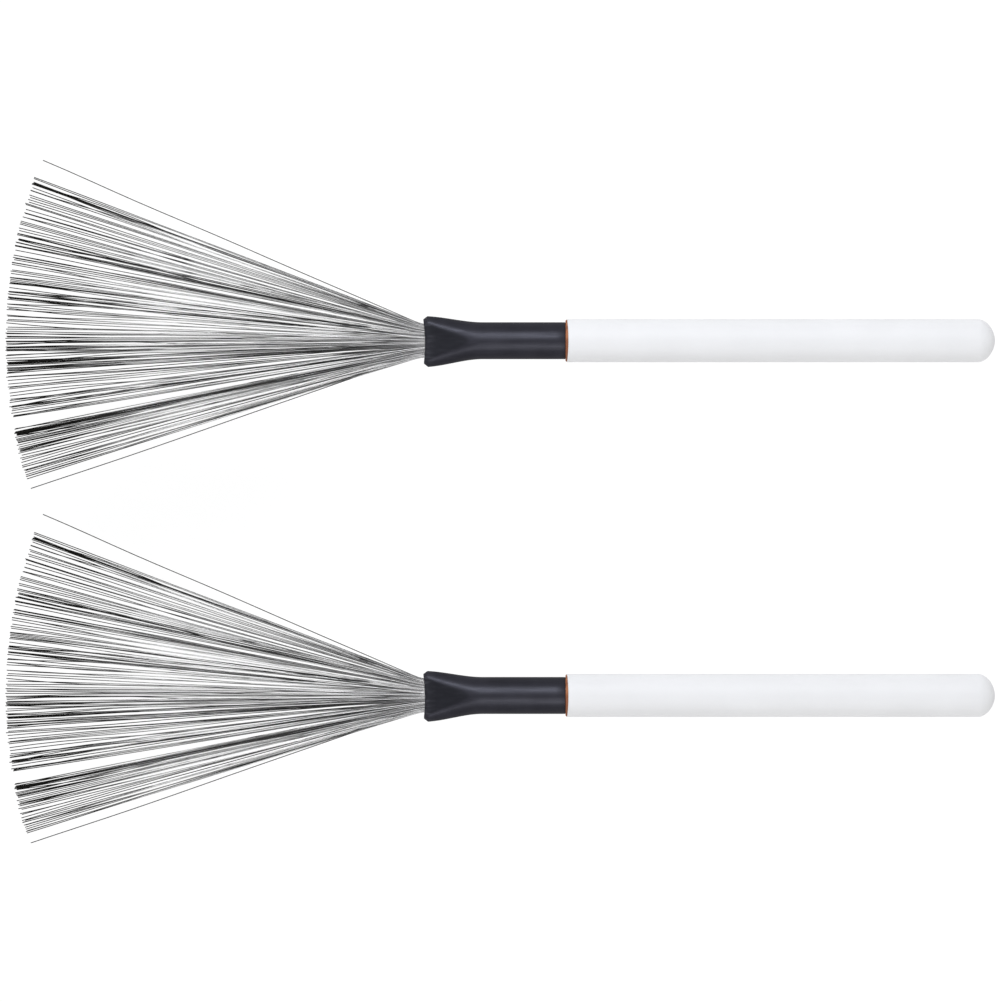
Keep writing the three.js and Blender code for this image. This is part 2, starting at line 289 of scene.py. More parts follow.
def turned(name, brush, profile, shifted=lambda x, angle: x):
    """A closed solid turned about the brush's axis. The profile holds (x, radius), starts and ends
    on the axis, and runs towards +X along the outside. Each corner's x passes through shifted."""
    vertices, faces, rings = [], [], []
    for x, radius in profile:
        rings.append((len(vertices), radius < ON_AXIS))
        if radius < ON_AXIS:
            vertices.append(brush.place(x, 0, 0))
            continue
        for i in range(ROUND_SIDES):
            angle = 2 * math.pi * i / ROUND_SIDES
            y, z = radius * math.cos(angle), radius * math.sin(angle)
            vertices.append(brush.place(shifted(x, angle), y, z))
    for (first, first_is_pole), (second, second_is_pole) in zip(rings, rings[1:]):
        for i in range(ROUND_SIDES):
            j = (i + 1) % ROUND_SIDES
            if first_is_pole:
                faces.append((first, second + j, second + i))
            elif second_is_pole:
                faces.append((first + i, first + j, second))
            else:
                faces.append((first + i, first + j, second + j, second + i))
    return new_object(name, vertices, faces)


def sleeved(name, brush, rings):
    """A closed wall through a list of rings that ends where it began, each a list of (x, y, z)."""
    vertices = [brush.place(*point) for ring in rings for point in ring]
    count = len(rings[0])
    faces = []
    for i in range(len(rings)):
        following = (i + 1) % len(rings)
        faces += bridge(i * count, following * count, count)
    return new_object(name, vertices, faces)


def wires_mesh(name, brush, paths, tones):
    """Round wires along paths, with flat ends. For their material, each wire keeps its own tone and
    each of its points keeps its distance from the apex of the fan."""
    apex = brush.place(brush.lip_x + APEX_BEHIND_LIPS, 0, 0)
    vertices, faces, vertex_tones, vertex_reaches = [], [], [], []
    for path, tone in zip(paths, tones):
        first = len(vertices)
        for i, point in enumerate(path):
            before = path[max(i - 1, 0)]
            after = path[min(i + 1, len(path) - 1)]
            along = (after - before).normalized()
            across = Vector((0, 1, 0))
            across = (across - along * across.dot(along)).normalized()
            upward = along.cross(across)
            for side in range(WIRE_SIDES):
                angle = 2 * math.pi * (side + 0.5) / WIRE_SIDES
                offset = across * math.cos(angle) + upward * math.sin(angle)
                vertices.append(point + offset * WIRE_RADIUS)
            vertex_reaches += [(point - apex).length] * WIRE_SIDES
        for i in range(len(path) - 1):
            ring = first + i * WIRE_SIDES
            faces += bridge(ring, ring + WIRE_SIDES, WIRE_SIDES)
        last = first + (len(path) - 1) * WIRE_SIDES
        faces.append(tuple(first + side for side in reversed(range(WIRE_SIDES))))
        faces.append(tuple(last + side for side in range(WIRE_SIDES)))
        vertex_tones += [tone] * (len(path) * WIRE_SIDES)
    thing = new_object(name, vertices, faces, math.radians(65))
    keep_values(thing, "wire_tone", vertex_tones)
    keep_values(thing, "wire_reach", vertex_reaches)
    return thing


# ------------------------------------------------------------------ the handle


def dome_profile(start_x, depth, radius, steps=16):
    """A quarter of an ellipse, a little pinched, from the cylinder to the axis."""
    points = []
    for i in range(1, steps):
        angle = math.pi / 2 * i / steps
        x = start_x + depth * math.sin(angle) ** DOME_PINCH
        points.append((x, radius * math.cos(angle) ** DOME_PINCH))
    return points + [(start_x + depth, 0.0)]


def straight(start_x, end_x, radius, steps):
    return [(lerp(start_x, end_x, i / steps), radius) for i in range(steps + 1)]


def along_lacquer_edge(brush):
    """Bends a turned shape so that its corners follow the wavy front edge of the lacquer."""

    def shifted(x, angle):
        grown = smooth((x - brush.wood_x) / WAVE_GROWS)
        left = 1 - smooth((x - brush.jacket_x - WAVE_HOLDS) / WAVE_FADES)
        return x + EDGE_WAVE * grown * left * math.sin(angle) ** 2

    return shifted


def rounded_edge(x, radius, size, steps=4):
    """The front edge of a cylinder, from its face out to its side."""
    points = []
    for i in range(steps + 1):
        angle = math.pi / 2 * i / steps
        points.append((x + size * (1 - math.sin(angle)), radius - size * (1 - math.cos(angle))))
    return points[::-1]


def handle_jacket(brush, material):
    dome_x = brush.butt_x - DOME_DEPTH
    inside = brush.handle_radius - JACKET_WALL
    inner_dome = dome_profile(dome_x, DOME_DEPTH - JACKET_WALL, inside)
    profile = inner_dome[::-1]
    profile += straight(dome_x, brush.jacket_x, inside, steps=4)
    profile += sorted(rounded_edge(brush.jacket_x, brush.handle_radius, JACKET_EDGE))
    side_x = brush.jacket_x + 2 * JACKET_EDGE
    profile += straight(side_x, dome_x, brush.handle_radius, steps=24)
    profile += dome_profile(dome_x, DOME_DEPTH, brush.handle_radius)
    shifted = along_lacquer_edge(brush)
    thing = turned(f"lacquered_handle_{brush.letter}", brush, profile, shifted)
    return finish_piece(
        thing, brush, material, "white_lacquer", f"handle_jacket_{brush.letter}"
    )


def handle_core(brush, material):
    dome_x = brush.butt_x - DOME_DEPTH
    collar = brush.handle_radius - COLLAR_INSET
    inside = brush.handle_radius - JACKET_WALL - CORE_GAP
    collar_back = brush.jacket_x - COLLAR_TUCK
    bore_end = brush.tube_end_x + BORE_SPARE
    profile = [(bore_end, 0.0)]
    profile += straight(bore_end, brush.wood_x, TUBE_RADIUS + CORE_GAP, steps=6)
    profile += [
        (brush.wood_x + behind * COLLAR_CHAMFER, collar - inwards * COLLAR_CHAMFER)
        for behind, inwards in COLLAR_CURVE
    ]
    profile += [(collar_back, collar), (collar_back, inside)]
    profile += straight(collar_back + 1 * MM, dome_x, inside, steps=8)
    profile += dome_profile(dome_x, brush.core_end_x - dome_x, inside)
    shifted = along_lacquer_edge(brush)
    thing = turned(f"wooden_core_{brush.letter}", brush, profile, shifted)
    return finish_piece(thing, brush, material, "bare_wood", f"handle_core_{brush.letter}")


# ------------------------------------------------------------------ the ferrule


def pressed(behind):
    """1 at the lips, falling smoothly to 0 where the ferrule is round again."""
    return 1 - smooth(behind / FLARE_LENGTH)


def pressed_heights(brush, behind):
    """How far from the axis the pressed oval reaches, and where the two flats cut it."""
    half_oval = lerp(brush.sleeve_radius, OVAL_HALF_AT_LIPS, pressed(behind))
    flat_end = lerp(brush.sleeve_radius, OVAL_HALF_AT_LIPS, pressed(FLAT_LENGTH))
    return half_oval, lerp(FLAT_HALF_AT_LIPS, flat_end, behind / FLAT_LENGTH)


def sleeve_outside(brush, behind, angle):
    """Half width and half thickness of the sleeve, at an angle round its axis."""
    share = pressed(behind)
    half_width = lerp(brush.sleeve_radius, brush.lip_half_width, share)
    to_lip = clamp01(1 - behind / LIP_CHAMFER)
    half_width -= LIP_DRAW_IN * to_lip
    half_oval, flat = pressed_heights(brush, behind)
    height = half_oval * abs(math.sin(angle))
    half_flat = math.sqrt(max(1e-6, 1 - min(1, flat / half_oval) ** 2))
    across = abs(math.cos(angle)) / half_flat
    dished = clamp01(1 - across * across) * clamp01(behind / HOLLOW_FROM)
    flat -= FLAT_HOLLOW * dished * (1 - smooth(behind / FLAT_LENGTH))
    height = soft_min(height, flat, FLAT_SOFTNESS)
    height -= LIP_ROLL * to_lip**3 * abs(math.sin(angle))
    lean = FLARE_LEAN * share
    return half_width * math.cos(angle) - lean, math.copysign(height, math.sin(angle))


def flat_share(brush, behind, angle):
    """1 on the two pressed flats of the sleeve and 0 on its round sides."""
    half_oval, flat = pressed_heights(brush, behind)
    return smooth((half_oval * abs(math.sin(angle)) - flat) / FLAT_MARGIN)


def pressed_tube(behind, angle, inset):
    """A round tube that is pressed to a flat oval at the lips, with its wall moved in by inset."""
    share = pressed(behind)
    half_width = lerp(TUBE_RADIUS, TUBE_HALF_WIDTH, share) - inset
    half_thickness = lerp(TUBE_RADIUS, TUBE_HALF_THICKNESS, share) - inset
    exponent = 2 / lerp(2, TUBE_POWER, share)
    return (
        half_width * signed_power(math.cos(angle), exponent) - FLARE_LEAN * share,
        half_thickness * signed_power(math.sin(angle), exponent),
    )


def ring_angles():
    return [2 * math.pi * (i + 0.5) / ROUND_SIDES for i in range(ROUND_SIDES)]


def hollow(brush, behind, y):
    """How far the middle of the lips is drawn back at this place."""
    across = clamp01(abs(y) / (brush.lip_half_width - LIP_DRAW_IN))
    slanted = LIP_SLANT * clamp01(0.5 - 0.5 * y / brush.lip_half_width)
    drawn_back = LIP_HOLLOW * (1 - across * across) + slanted
    return drawn_back * (1 - smooth(behind / LIP_SHAPE_ENDS))


def lipped_ring(brush, behind, section):
    """A ring of corners on a section, drawn back as the lips are. The section gives y and z."""
    points = [section(angle) for angle in ring_angles()]
    return [(brush.lip_x + behind + hollow(brush, behind, y), y, z) for y, z in points]


def ferrule_sleeve(brush, material):
    end = brush.sleeve_end_x - brush.lip_x
    outer = [distance * MM for distance in NEAR_LIP]
    outer += [distance * 0.5 * MM for distance in HALF_MILLIMETRES]
    outer += [lerp(21 * MM, end - END_ROUND, i / 8) for i in range(9)]
    rings = [
        lipped_ring(brush, behind, lambda angle: sleeve_outside(brush, behind, angle))
        for behind in outer
    ]
    for inwards, ahead in END_CURVE:
        radius = brush.sleeve_radius - inwards * END_ROUND
        x = brush.lip_x + (end - ahead * END_ROUND)
        rings.append(
            [(x, radius * math.cos(angle), radius * math.sin(angle)) for angle in ring_angles()]
        )
    inner = [end, end - 1 * MM] + [distance * MM for distance in range(20, 0, -1)]
    rings += [
        lipped_ring(brush, behind, lambda angle: pressed_tube(behind, angle, -LINING_GAP))
        for behind in inner + [0.3 * MM, 0.0]
    ]
    thing = sleeved(f"pressed_sleeve_{brush.letter}", brush, rings)
    on_flats = [
        flat_share(brush, behind, angle) for behind in outer for angle in ring_angles()
    ]
    on_flats += [0.0] * (len(thing.data.vertices) - len(on_flats))
    keep_values(thing, "pressed_flat", on_flats)
    return finish_piece(
        thing, brush, material, "black_sleeve", f"ferrule_sleeve_{brush.letter}"
    )


def mouth_tube(brush, material):
    start = brush.tube_x - brush.lip_x
    end = brush.tube_end_x - brush.lip_x
    places = [start, start + TUBE_EDGE]
    places += [distance * MM for distance in range(2, 21)]
    places += [*TUBE_PLACES, end]
    walls = [(behind, 0.0) for behind in places]
    walls += [(behind, TUBE_WALL) for behind in reversed(places)]
    rings = [
        lipped_ring(brush, behind, lambda angle: pressed_tube(behind, angle, inset))
        for behind, inset in walls
    ]
    thing = sleeved(f"inner_tube_{brush.letter}", brush, rings)
    return finish_piece(thing, brush, material, "tube_metal", f"mouth_tube_{brush.letter}")


# ------------------------------------------------------------------ the wires


class Wire:
    """One free wire: where it leaves the lips, lies in the bundle, and has its tip."""

    def __init__(self, angle, in_tuft, rng, tip_height):
        slope = math.tan(math.radians(angle))
        radius = TIP_ARC_RADIUS + rng.gauss(-TIP_SCATTER, TIP_SCATTER)
        a = 1 + slope**2
        b = TIP_ARC_BEHIND_LIPS + slope**2 * APEX_BEHIND_LIPS
        c = TIP_ARC_BEHIND_LIPS**2 + (slope * APEX_BEHIND_LIPS) ** 2 - radius**2
        self.angle = angle
        self.in_tuft = in_tuft
        self.reach = (-b + math.sqrt(b * b - a * c)) / a
        self.tip_y = slope * (APEX_BEHIND_LIPS + self.reach)
        self.tip_z = tip_height
        self.bow = rng.gauss(0, BOW)
        wavy = rng.random() < WAVY_SHARE
        self.wave = rng.uniform(*(STRONG_WAVE if wavy else FAINT_WAVE)) * MM
        self.wave_turns = rng.uniform(*WAVE_TURNS)
        self.wave_phase = rng.uniform(0, 2 * math.pi)
        self.tone = rng.uniform(*(TUFT_TONES if in_tuft else LOOSE_TONES))

    def inside(self, behind):
        """The wire's y and z inside the ferrule, from its own axis."""
        share = smooth((behind - STRAIGHT_INSIDE) / (REAR_FROM - STRAIGHT_INSIDE))
        return lerp(self.lip_y, self.rear_y, share), lerp(self.lip_z, self.rear_z, share)

    def free_point(self, ahead):
        """The wire's y and z ahead of the lips, or a little behind them where ahead is negative."""
        if ahead < -LIP_BEND:
            return self.inside(-ahead)
        turning = ahead < LIP_BEND
        gone = (ahead + LIP_BEND) ** 2 / (4 * LIP_BEND) if turning else ahead
        start_y, start_z = self.inside(LIP_BEND)
        share = gone / self.reach
        along = clamp01(ahead / self.reach)
        y = lerp(start_y, self.tip_y, share)
        z = lerp(start_z, self.tip_z, share)
        phase = 2 * math.pi * self.wave_turns * along + self.wave_phase
        swing = self.wave * math.sin(phase) * along**WAVE_GROWTH
        lift = self.wave * math.cos(phase) * along**WAVE_GROWTH
        y += self.bow * math.sin(math.pi * along) + swing
        z += WAVE_LIFT * lift * (1 - along)
        return y, z


def spread_evenly(count, half_width):
    """Places across a width for a number of columns, from its +Y side."""
    return [lerp(half_width, -half_width, i / (count - 1)) for i in range(count)]


def stack(wires, rows, half_width, attribute):
    """Packs wires into columns of rows wires each, the highest tips on top, and stores y and z."""
    columns = [wires[i : i + rows] for i in range(0, len(wires), rows)]
    for y, column in zip(spread_evenly(len(columns), half_width), columns):
        ranked = sorted(column, key=lambda wire: wire.tip_z)
        for rank, wire in enumerate(ranked):
            setattr(wire, f"{attribute}_y", y)
            setattr(wire, f"{attribute}_z", (rank - (len(ranked) - 1) / 2) * WIRE_PITCH)
            if attribute == "rear":
                wire.column, wire.rank, wire.column_size = y, rank, len(ranked)


def plan_wires(brush, rng):
    """The wires of a brush from its +Y side to its -Y side."""
    lowest, highest = LOWER_ANGLE + EDGE_GAP / 2, UPPER_ANGLE - EDGE_GAP
    tufted = [rng.gauss(centre, spread) for centre, spread, count in TUFTS for _ in range(count)]
    others = WIRE_COUNT - len(tufted) - 2
    step = (highest - lowest - (CLEAR_FROM - CLEAR_TO)) / others
    loose = [lowest + (i + 0.5) * step + rng.gauss(0, LOOSENESS) for i in range(others)]
    loose = [angle if angle < CLEAR_TO else angle + CLEAR_FROM - CLEAR_TO for angle in loose]
    laid = [(angle, True) for angle in tufted] + [(angle, False) for angle in loose]
    laid = [(min(highest, max(lowest, angle)), in_tuft) for angle, in_tuft in laid]
    laid = sorted(laid + [(UPPER_ANGLE, False), (LOWER_ANGLE, False)], reverse=True)
    room = FAN_THICKNESS * brush.axis_z
    heights = [lerp(-room, room, i / (WIRE_COUNT - 1)) for i in range(WIRE_COUNT)]
    rng.shuffle(heights)
    wires = [Wire(*place, rng, height) for place, height in zip(laid, heights)]
    for wire, neighbour in zip(wires[1:], wires):
        if wire.in_tuft == neighbour.in_tuft and rng.random() > TONE_CHANGES:
            wire.tone = neighbour.tone
    wires[0].tone = wires[-1].tone = LONE_TONE
    order = {id(wire): i + rng.gauss(0, LIP_SHUFFLE) for i, wire in enumerate(wires)}
    order[id(wires[0])] = -math.inf
    order[id(wires[-1])] = LOWER_LONE_PLACE * WIRE_COUNT
    in_bundle = sorted(wires, key=lambda wire: order[id(wire)])
    stack(in_bundle, LIP_ROWS, LIP_HALF_WIDTH, "lip")
    stack(in_bundle, LOOP_ROWS, REAR_HALF_WIDTH, "rear")
    return wires


def free_path(brush, wire):
    aheads = [corner * MM for corner in CORNERS]
    to_tip = [(i + 1) / CORNERS_TO_TIP for i in range(CORNERS_TO_TIP)]
    aheads += [lerp(aheads[-1], wire.reach, share) for share in to_tip]
    return [brush.place(brush.lip_x - ahead, *wire.free_point(ahead)) for ahead in aheads]


def sector_of(wire):
    middle = (UPPER_ANGLE + LOWER_ANGLE) / 2
    place = SECTORS / 2 + (middle - wire.angle) / SECTOR_ANGLE
    return max(0, min(SECTORS - 1, math.floor(place)))


def wire_fan(brush, wires, material):
    """One piece for each sector, of the wires that leave the lips, in place of the sector's CAD
    node.
    """
    bend = 2 * (brush.lip_x - brush.hinge_x)
    start = brush.place(brush.lip_x, 0, 0)
    end = brush.place(brush.lip_x - bend, 0, 0)
    for sector in range(SECTORS):
        members = [wire for wire in wires if sector_of(wire) == sector]
        paths = [free_path(brush, wire) for wire in members]
        name = f"free_wires_{sector + 1}_{brush.letter}"
        thing = wires_mesh(name, brush, paths, [wire.tone for wire in members])
        thing.data.materials.append(material)
        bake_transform(thing)
        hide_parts(f"wires_{sector + 1}_{brush.letter}")


def hairpin_path(brush, upper, lower):
    """From one wire's place inside the lips, round the anchor pin, to its partner's place."""
    pin_x = brush.lip_x + PIN_BEHIND_LIPS
    layer = upper.rank - upper.column_size / 2
    radius = PIN_RADIUS + PIN_CLEARANCE + WIRE_RADIUS + WIRE_PITCH * layer
    places = [lerp(FREE_FROM, REAR_FROM, i / 6) for i in range(7)]
    out = [brush.place(brush.lip_x + behind, *upper.inside(behind)) for behind in places]
    back = [brush.place(brush.lip_x + behind, *lower.inside(behind)) for behind in places]
    bend = []
    for i in range(9):
        angle = math.pi / 2 - math.pi * i / 8
        x, z = pin_x + radius * math.cos(angle), radius * math.sin(angle)
        bend.append(brush.place(x, upper.rear_y, z))
    return out + bend + back[::-1]


def wire_bundle(brush, wires, material):
    """The held part of every wire: hairpins that fold round the anchor pin."""
    paths, tones = [], []
    for column in sorted({wire.column for wire in wires}):
        members = sorted(
            (wire for wire in wires if wire.column == column), key=lambda wire: wire.rank
        )
        for lower, upper in zip(members, reversed(members)):
            if lower.rank >= upper.rank:
                break
            paths.append(hairpin_path(brush, upper, lower))
            tones.append(upper.tone)
    thing = wires_mesh(f"folded_wires_{brush.letter}", brush, paths, tones)
    return finish_piece(thing, brush, material, "spring_wire", f"wire_roots_{brush.letter}")


# ------------------------------------------------------------------ materials


class Look:
    """A procedural material under construction, with short ways to add its nodes."""

    def __init__(self, name):
        self.material = bpy.data.materials.new(name)
        self.material.use_nodes = True
        self.nodes = self.material.node_tree.nodes
        self.links = self.material.node_tree.links
        self.shader = self.nodes["Principled BSDF"]
        self.position = self.nodes.new("ShaderNodeTexCoord").outputs["Object"]

    def set(self, **values):
        for name, value in values.items():
            self.shader.inputs[name.replace("_", " ")].default_value = value

    def stretched(self, scale, centre=(0, 0, 0)):
        """Object coordinates about a centre, stretched by a scale in each direction."""
        mapping = self.nodes.new("ShaderNodeMapping")
        mapping.vector_type = "POINT"
        mapping.inputs["Scale"].default_value = scale
        mapping.inputs["Location"].default_value = [-c * s for c, s in zip(centre, scale)]
        self.links.new(self.position, mapping.inputs["Vector"])
        return mapping.outputs["Vector"]

    def noise(self, scale, detail=4.0, roughness=0.55, vector=None):
        node = self.nodes.new("ShaderNodeTexNoise")
        node.inputs["Scale"].default_value = scale
        node.inputs["Detail"].default_value = detail
        node.inputs["Roughness"].default_value = roughness
        self.links.new(vector or self.position, node.inputs["Vector"])
        return node.outputs["Fac"]

    def ramp(self, factor, *stops):
        """A colour ramp through stops of (place, colour)."""
        node = self.nodes.new("ShaderNodeValToRGB")
        elements = node.color_ramp.elements
        while len(elements) < len(stops):
            elements.new(0.5)
        for element, (place, colour) in zip(elements, stops):
            element.position = place
            element.color = (*colour, 1)
        self.links.new(factor, node.inputs["Fac"])
        return node.outputs["Color"]

    def spread(self, factor, low, high, from_low=0.0, from_high=1.0):
        """A number carried from one range to another."""
        node = self.nodes.new("ShaderNodeMapRange")
        node.inputs["From Min"].default_value = from_low
        node.inputs["From Max"].default_value = from_high
        node.inputs["To Min"].default_value = low
        node.inputs["To Max"].default_value = high
        self.links.new(factor, node.inputs["Value"])
        return node.outputs["Result"]

    def mixed(self, factor, first, second, mode="MIX"):
        node = self.nodes.new("ShaderNodeMix")
        node.data_type = "RGBA"
        node.blend_type = mode
        node.clamp_result = True
        for socket, value in (("Factor", factor), ("A", first), ("B", second)):
            target = next(s for s in node.inputs if s.name == socket and s.enabled)
            if isinstance(value, (int, float)):
                target.default_value = value
            elif isinstance(value, tuple):
                target.default_value = (*value, 1)
            else:
                self.links.new(value, target)
        return next(s for s in node.outputs if s.enabled)

    def kept(self, name):
        """The numbers that a mesh keeps under a name."""
        node = self.nodes.new("ShaderNodeAttribute")
        node.attribute_name = name
        return node.outputs["Fac"]

    def product(self, first, second):
        node = self.nodes.new("ShaderNodeMath")
        node.operation = "MULTIPLY"
        self.links.new(first, node.inputs[0])
        if isinstance(second, (int, float)):
            node.inputs[1].default_value = second
        else:
            self.links.new(second, node.inputs[1])
        return node.outputs[0]

    def bump(self, height, strength, distance, under=None):
        node = self.nodes.new("ShaderNodeBump")
        node.inputs["Strength"].default_value = strength
        node.inputs["Distance"].default_value = distance
        self.links.new(height, node.inputs["Height"])
        if under:
            self.links.new(under, node.inputs["Normal"])
        return node.outputs["Normal"]

    def wire_to(self, **sources):
        for name, source in sources.items():
            self.links.new(source, self.shader.inputs[name.replace("_", " ")])


def white_lacquer(brush):
    """Sprayed white lacquer: a faint orange peel, slight clouding, and hair-fine handling marks."""
    look = Look(f"white_lacquer_{brush.letter}")
    dull_white, bright_white = (0.815, 0.815, 0.824), (0.845, 0.845, 0.855)
    mark_grey = (0.76, 0.76, 0.77)
    look.set(Coat_Weight=0.06, Coat_Roughness=0.3, Specular_IOR_Level=0.2)
    cloud = look.noise(55, 3)
    peel = look.noise(850, 2, vector=look.stretched((0.6, 1, 1)))
    marks = look.noise(120, 6, 0.7, vector=look.stretched((1, 9, 9)))
    white = look.ramp(cloud, (0.3, dull_white), (0.7, bright_white))
    marked = look.spread(marks, 0.0, 0.5, 0.66, 0.8)
    colour = look.mixed(marked, white, mark_grey)
    rough = look.spread(cloud, 0.5, 0.6, 0.3, 0.7)
    look.wire_to(Base_Color=colour, Roughness=rough)
    look.wire_to(Normal=look.bump(peel, 0.12, 0.03 * MM))
    return look.material


def turned_wood(brush):
    """Reddish-brown wood with growth rings round the handle and pores along it."""
    look = Look(f"turned_wood_{brush.letter}")
    dark_ring, light_ring, pore_brown = (0.28, 0.09, 0.035), (0.42, 0.15, 0.06), (0.16, 0.06, 0.03)
    heart = (0, brush.axis_y + 2 * MM, brush.axis_z - 3 * MM)
    rings = look.nodes.new("ShaderNodeTexWave")
    rings.wave_type = "RINGS"
    rings.rings_direction = "X"
    rings.inputs["Scale"].default_value = 210
    rings.inputs["Distortion"].default_value = 2.5
    rings.inputs["Detail"].default_value = 3
    look.links.new(look.stretched((1, 1, 1), heart), rings.inputs["Vector"])
    pores = look.noise(1400, 4, 0.6, vector=look.stretched((0.12, 1, 1)))
    grain = look.ramp(rings.outputs["Fac"], (0.1, dark_ring), (0.8, light_ring))
    pored = look.spread(pores, 0.0, 0.7, 0.58, 0.72)
    colour = look.mixed(pored, grain, pore_brown)
    look.wire_to(Base_Color=colour, Roughness=look.spread(pores, 0.5, 0.75))
    look.wire_to(Normal=look.bump(pores, 0.5, 0.05 * MM))
    return look.material


def black_sleeve(brush):
    """Navy-black vinyl: a soft sheen, fine lengthwise rub marks, painted shade on the pressed
    flats, and paler scuffs near the lips that are partly a painted highlight on the rounded lip
    edge.
    """
    look = Look(f"black_sleeve_{brush.letter}")
    deep_navy, pale_navy = (0.0155, 0.0148, 0.020), (0.0225, 0.0215, 0.0285)
    flat_shade_black, scuff_and_highlight_grey = (0.005, 0.005, 0.0065), (0.06, 0.06, 0.07)
    scuff_and_highlight_to = brush.lip_x + 0.5 * MM, brush.lip_x + 4.5 * MM
    look.set(Specular_IOR_Level=0.37, Specular_Tint=(0.82, 0.84, 1.0, 1))
    cloud = look.noise(140, 3)
    grain = look.noise(2600, 3, 0.6)
    rubs = look.noise(900, 5, 0.65, vector=look.stretched((0.06, 1, 1)))
    base = look.ramp(cloud, (0.3, deep_navy), (0.7, pale_navy))
    place = look.nodes.new("ShaderNodeSeparateXYZ")
    look.links.new(look.position, place.inputs["Vector"])
    near_lips = look.spread(place.outputs["X"], 0.95, 0.06, *scuff_and_highlight_to)
    # Painted shade: the pressed flats are darkened towards black.
    shaded = look.mixed(look.product(look.kept("pressed_flat"), 0.85), base, flat_shade_black)
    # Paler towards the lips: partly scuff wear, partly a painted highlight on the rounded lip edge.
    scuffs_and_highlight = look.product(look.spread(rubs, 0.2, 1.0, 0.5, 0.7), near_lips)
    colour = look.mixed(scuffs_and_highlight, shaded, scuff_and_highlight_grey)
    rough = look.spread(rubs, 0.30, 0.46, 0.3, 0.7)
    look.wire_to(Base_Color=colour, Roughness=rough)
    fine = look.bump(grain, 0.12, 0.02 * MM)
    look.wire_to(Normal=look.bump(rubs, 0.10, 0.02 * MM, under=fine))
    return look.material


def spring_wire(brush):
    """Drawn spring steel. Every wire has its own tone, whose dark end is painted shade where wires
    lie on each other, and its own patches of painted shadow, with fine draw marks along it. The
    tones are more alike near the lips, and the last third is darker."""
    look = Look(f"spring_wire_{brush.letter}")
    painted_shadow_grey, even_grey = (0.025, 0.0245, 0.024), (0.5, 0.495, 0.5)
    tip_black = (0.014, 0.0135, 0.012)
    evened_to = 16 * MM, 40 * MM
    tip_dark_from = 101 * MM, 133 * MM
    look.set(Metallic=1.0, Specular_Tint=(0.45, 0.45, 0.45, 1))
    tone, reach = look.kept("wire_tone"), look.kept("wire_reach")
    # The ramp's near-black end paints the shade that wires lying on each other cast; across the
    # rest, the tone differs from wire to wire.
    steel = look.ramp(
        tone,
        (0.0, (0.03, 0.03, 0.029)),
        (0.24, (0.06, 0.059, 0.057)),
        (0.36, (0.38, 0.376, 0.37)),
        (0.7, (0.64, 0.635, 0.625)),
        (1.0, (0.95, 0.94, 0.925)),
    )
    # Painted shadow: stretches of each wire are darkened, as where other wires shade it.
    shadow_patches = look.nodes.new("ShaderNodeTexNoise")
    shadow_patches.noise_dimensions = "4D"
    shadow_patches.inputs["Scale"].default_value = 110
    shadow_patches.inputs["Detail"].default_value = 3
    look.links.new(look.product(reach, 0.3), shadow_patches.inputs["Vector"])
    look.links.new(look.product(tone, 400), shadow_patches.inputs["W"])
    shadow_patch = look.spread(shadow_patches.outputs["Fac"], 0.0, 0.9, 0.56, 0.64)
    shadow_patched = look.mixed(shadow_patch, steel, painted_shadow_grey)
    evened = look.mixed(look.spread(reach, 0.42, 0.0, *evened_to), shadow_patched, even_grey)
    # The wires darken to near black over their last third.
    tip_darkening = look.spread(reach, 0.0, 0.98, *tip_dark_from)
    colour = look.mixed(tip_darkening, evened, tip_black)
    draws = look.noise(5200, 3, 0.6, vector=look.stretched((0.05, 1, 1)))
    look.wire_to(Base_Color=colour, Roughness=look.spread(draws, 0.32, 0.5, 0.3, 0.7))
    look.wire_to(Normal=look.bump(draws, 0.2, 0.004 * MM))
    return look.material


def drawn_metal(name, dark, light, rough):
    """A plain drawn or turned metal with lengthwise marks."""
    look = Look(name)
    look.set(Metallic=1.0)
    draws = look.noise(1800, 4, 0.6, vector=look.stretched((0.05, 1, 1)))
    look.wire_to(Base_Color=look.ramp(draws, (0.3, dark), (0.7, light)))
    look.wire_to(Roughness=look.spread(draws, rough, rough + 0.18, 0.3, 0.7))
    look.wire_to(Normal=look.bump(draws, 0.25, 0.01 * MM))
    return look.material


def amber_glue():
    """Cured epoxy, cloudy amber with small bubbles."""
    look = Look("amber_glue")
    dark_amber, light_amber = (0.42, 0.26, 0.08), (0.62, 0.42, 0.16)
    bubble_white = (0.8, 0.68, 0.45)
    look.set(Specular_IOR_Level=0.5, Coat_Weight=0.3, Coat_Roughness=0.1)
    cloud = look.noise(300, 4)
    bubbles = look.noise(1900, 1, 0.4)
    amber = look.ramp(cloud, (0.3, dark_amber), (0.7, light_amber))
    colour = look.mixed(look.spread(bubbles, 0.0, 0.6, 0.66, 0.74), amber, bubble_white)
    look.wire_to(Base_Color=colour, Roughness=look.spread(cloud, 0.25, 0.45))
    look.wire_to(Normal=look.bump(bubbles, 0.3, 0.03 * MM))
    return look.material


def dress_hidden_nodes(brush, materials):
    """The pieces inside the ferrule keep their CAD shape and get their materials."""
    for node, material in materials.items():
        piece = frame["nodes"][f"{node}_{brush.letter}"]
        for material_slot in piece.material_slots:
            material_slot.material = material


# ------------------------------------------------------------------ studio

FLOOR_DROP = 70 * MM  # the pair is held clear of the floor, so that bent wires stay above it
FLOOR_SIDES = 64
